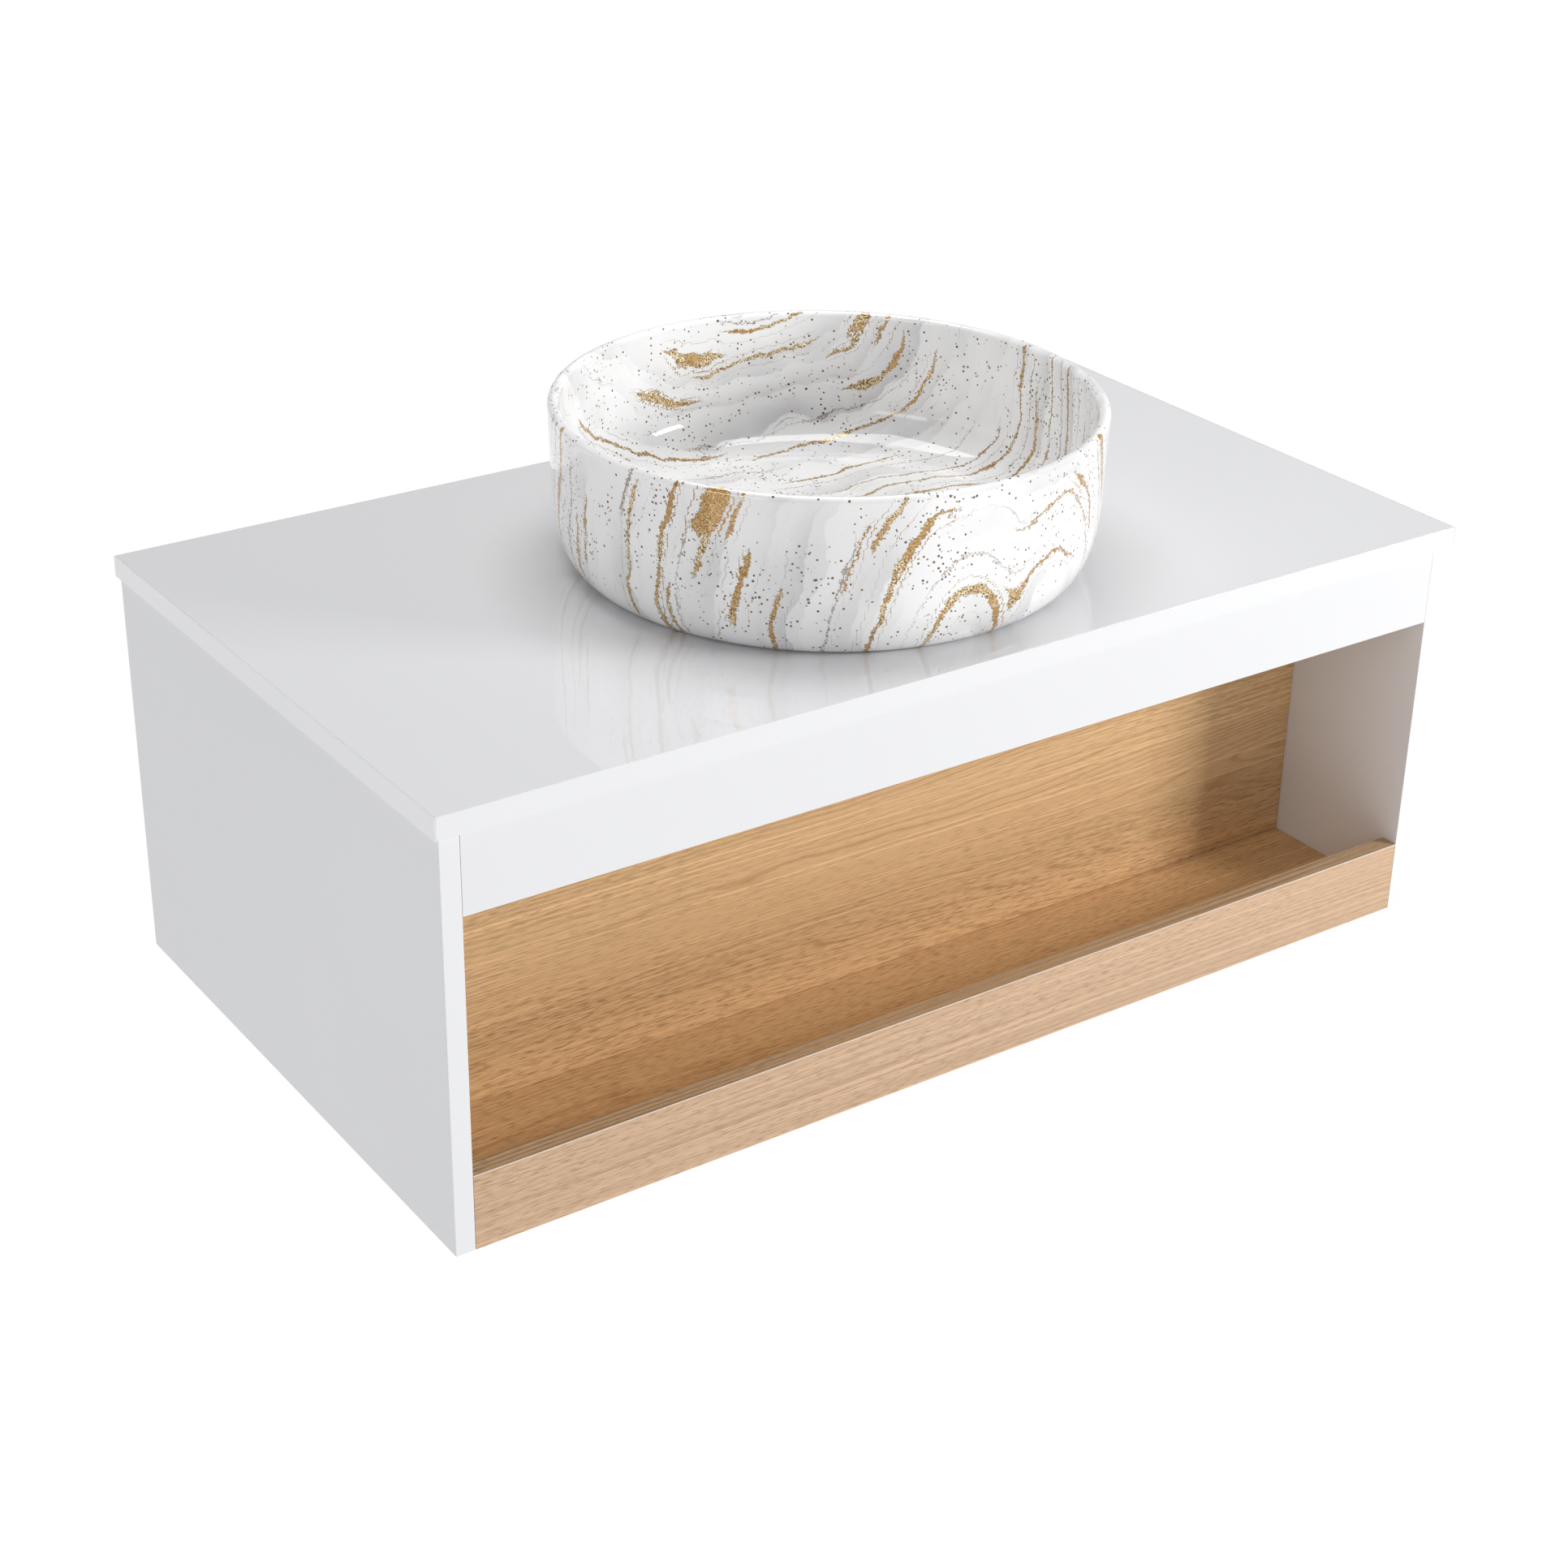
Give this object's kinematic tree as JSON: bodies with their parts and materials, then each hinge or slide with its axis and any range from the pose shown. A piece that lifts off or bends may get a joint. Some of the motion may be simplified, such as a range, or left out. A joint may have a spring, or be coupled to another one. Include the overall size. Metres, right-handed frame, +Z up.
{
  "type": "vessel sink on vanity",
  "caption": "Wall-hung bathroom washstand: white gloss cabinet with an open oak niche and a round vessel basin in white, grey and gold marbled ceramic.",
  "frame": {"origin": "centre of the hanging rail's rear face, on the wall plane", "axes": "+X to the right seen from the front, +Y into the wall, +Z up"},
  "size_m": [0.9, 0.5, 0.4605],
  "materials": {
    "white_gloss": "high-gloss white lacquer on fibreboard, mirror-like",
    "white_edge": "smooth white ABS edge band, satin gloss",
    "oak_laminate": "natural oak laminate, matt, fine grain with soft cathedrals",
    "glazed_ceramic": "glossy white glaze with soft grey veins, metallic gold veins and fine brown specks",
    "chrome": "polished chrome plate",
    "zinc_steel": "zinc-plated steel, satin",
    "white_plastic": "moulded white polypropylene, fine texture",
    "black_rubber": "black moulded rubber"
  },
  "bodies": {
    "cabinet": {"countertop": "white_gloss", "left_side_panel": "white_gloss", "right_side_panel": "white_gloss", "front_fascia": "white_gloss", "hanging_rail": "white_gloss", "lower_rear_rail": "white_gloss", "countertop_front_band": "white_edge", "countertop_left_band": "white_edge", "countertop_right_band": "white_edge", "left_side_front_band": "white_edge", "right_side_front_band": "white_edge", "niche_back_panel": "oak_laminate", "niche_shelf": "oak_laminate", "niche_front_lip": "oak_laminate", "lip_top_band": "oak_laminate", "vessel_basin": "glazed_ceramic", "waste_body": "chrome", "waste_lock_nut": "chrome", "trap_wall_flange": "chrome", "left_fascia_cam": "zinc_steel", "left_fascia_cam_bolt": "zinc_steel", "left_niche_back_cam": "zinc_steel", "left_niche_back_cam_bolt": "zinc_steel", "left_shelf_cam": "zinc_steel", "left_shelf_cam_bolt": "zinc_steel", "left_hanging_rail_cam": "zinc_steel", "left_hanging_rail_cam_bolt": "zinc_steel", "left_rear_rail_cam": "zinc_steel", "left_rear_rail_cam_bolt": "zinc_steel", "left_top_cam": "zinc_steel", "left_top_cam_bolt": "zinc_steel", "right_fascia_cam": "zinc_steel", "right_fascia_cam_bolt": "zinc_steel", "right_niche_back_cam": "zinc_steel", "right_niche_back_cam_bolt": "zinc_steel", "right_shelf_cam": "zinc_steel", "right_shelf_cam_bolt": "zinc_steel", "right_hanging_rail_cam": "zinc_steel", "right_hanging_rail_cam_bolt": "zinc_steel", "right_rear_rail_cam": "zinc_steel", "right_rear_rail_cam_bolt": "zinc_steel", "right_top_cam": "zinc_steel", "right_top_cam_bolt": "zinc_steel", "left_hanger_bracket": "zinc_steel", "right_hanger_bracket": "zinc_steel", "trap_inlet_nut": "white_plastic", "trap_inlet_tube": "white_plastic", "trap_head": "white_plastic", "trap_cup": "white_plastic", "trap_outlet_nut": "white_plastic", "trap_outlet_pipe": "white_plastic", "waste_seat_gasket": "black_rubber", "waste_under_gasket": "black_rubber"},
    "plug": {"waste_plug": "chrome"},
    "left_screw": {"left_height_screw": "zinc_steel"},
    "left_hook": {"left_hanger_hook": "zinc_steel", "left_wall_plate": "zinc_steel"},
    "right_screw": {"right_height_screw": "zinc_steel"},
    "right_hook": {"right_hanger_hook": "zinc_steel", "right_wall_plate": "zinc_steel"}
  },
  "joints": [
    {"name": "plug_lift", "type": "slide", "parent": "cabinet", "child": "plug", "axis": [0, 0, 1], "range_m": [0, 0.008]},
    {"name": "left_screw_turn", "type": "hinge", "parent": "cabinet", "child": "left_screw", "pos_m": [-0.416, -0.038, 0.02], "axis": [0, 0, 1], "range_deg": [-2520, 2520]},
    {"name": "left_hook_height", "type": "slide", "parent": "cabinet", "child": "left_hook", "axis": [0, 0, 1], "range_m": [-0.007, 0.007]},
    {"name": "right_screw_turn", "type": "hinge", "parent": "cabinet", "child": "right_screw", "pos_m": [0.416, -0.038, 0.02], "axis": [0, 0, 1], "range_deg": [-2520, 2520]},
    {"name": "right_hook_height", "type": "slide", "parent": "cabinet", "child": "right_hook", "axis": [0, 0, 1], "range_m": [-0.007, 0.007]}
  ],
  "couplings": [
    {"joint": "left_screw_turn", "follows": "left_hook_height", "rad_per_m": -6283.2},
    {"joint": "right_screw_turn", "follows": "right_hook_height", "rad_per_m": -6283.2}
  ]
}
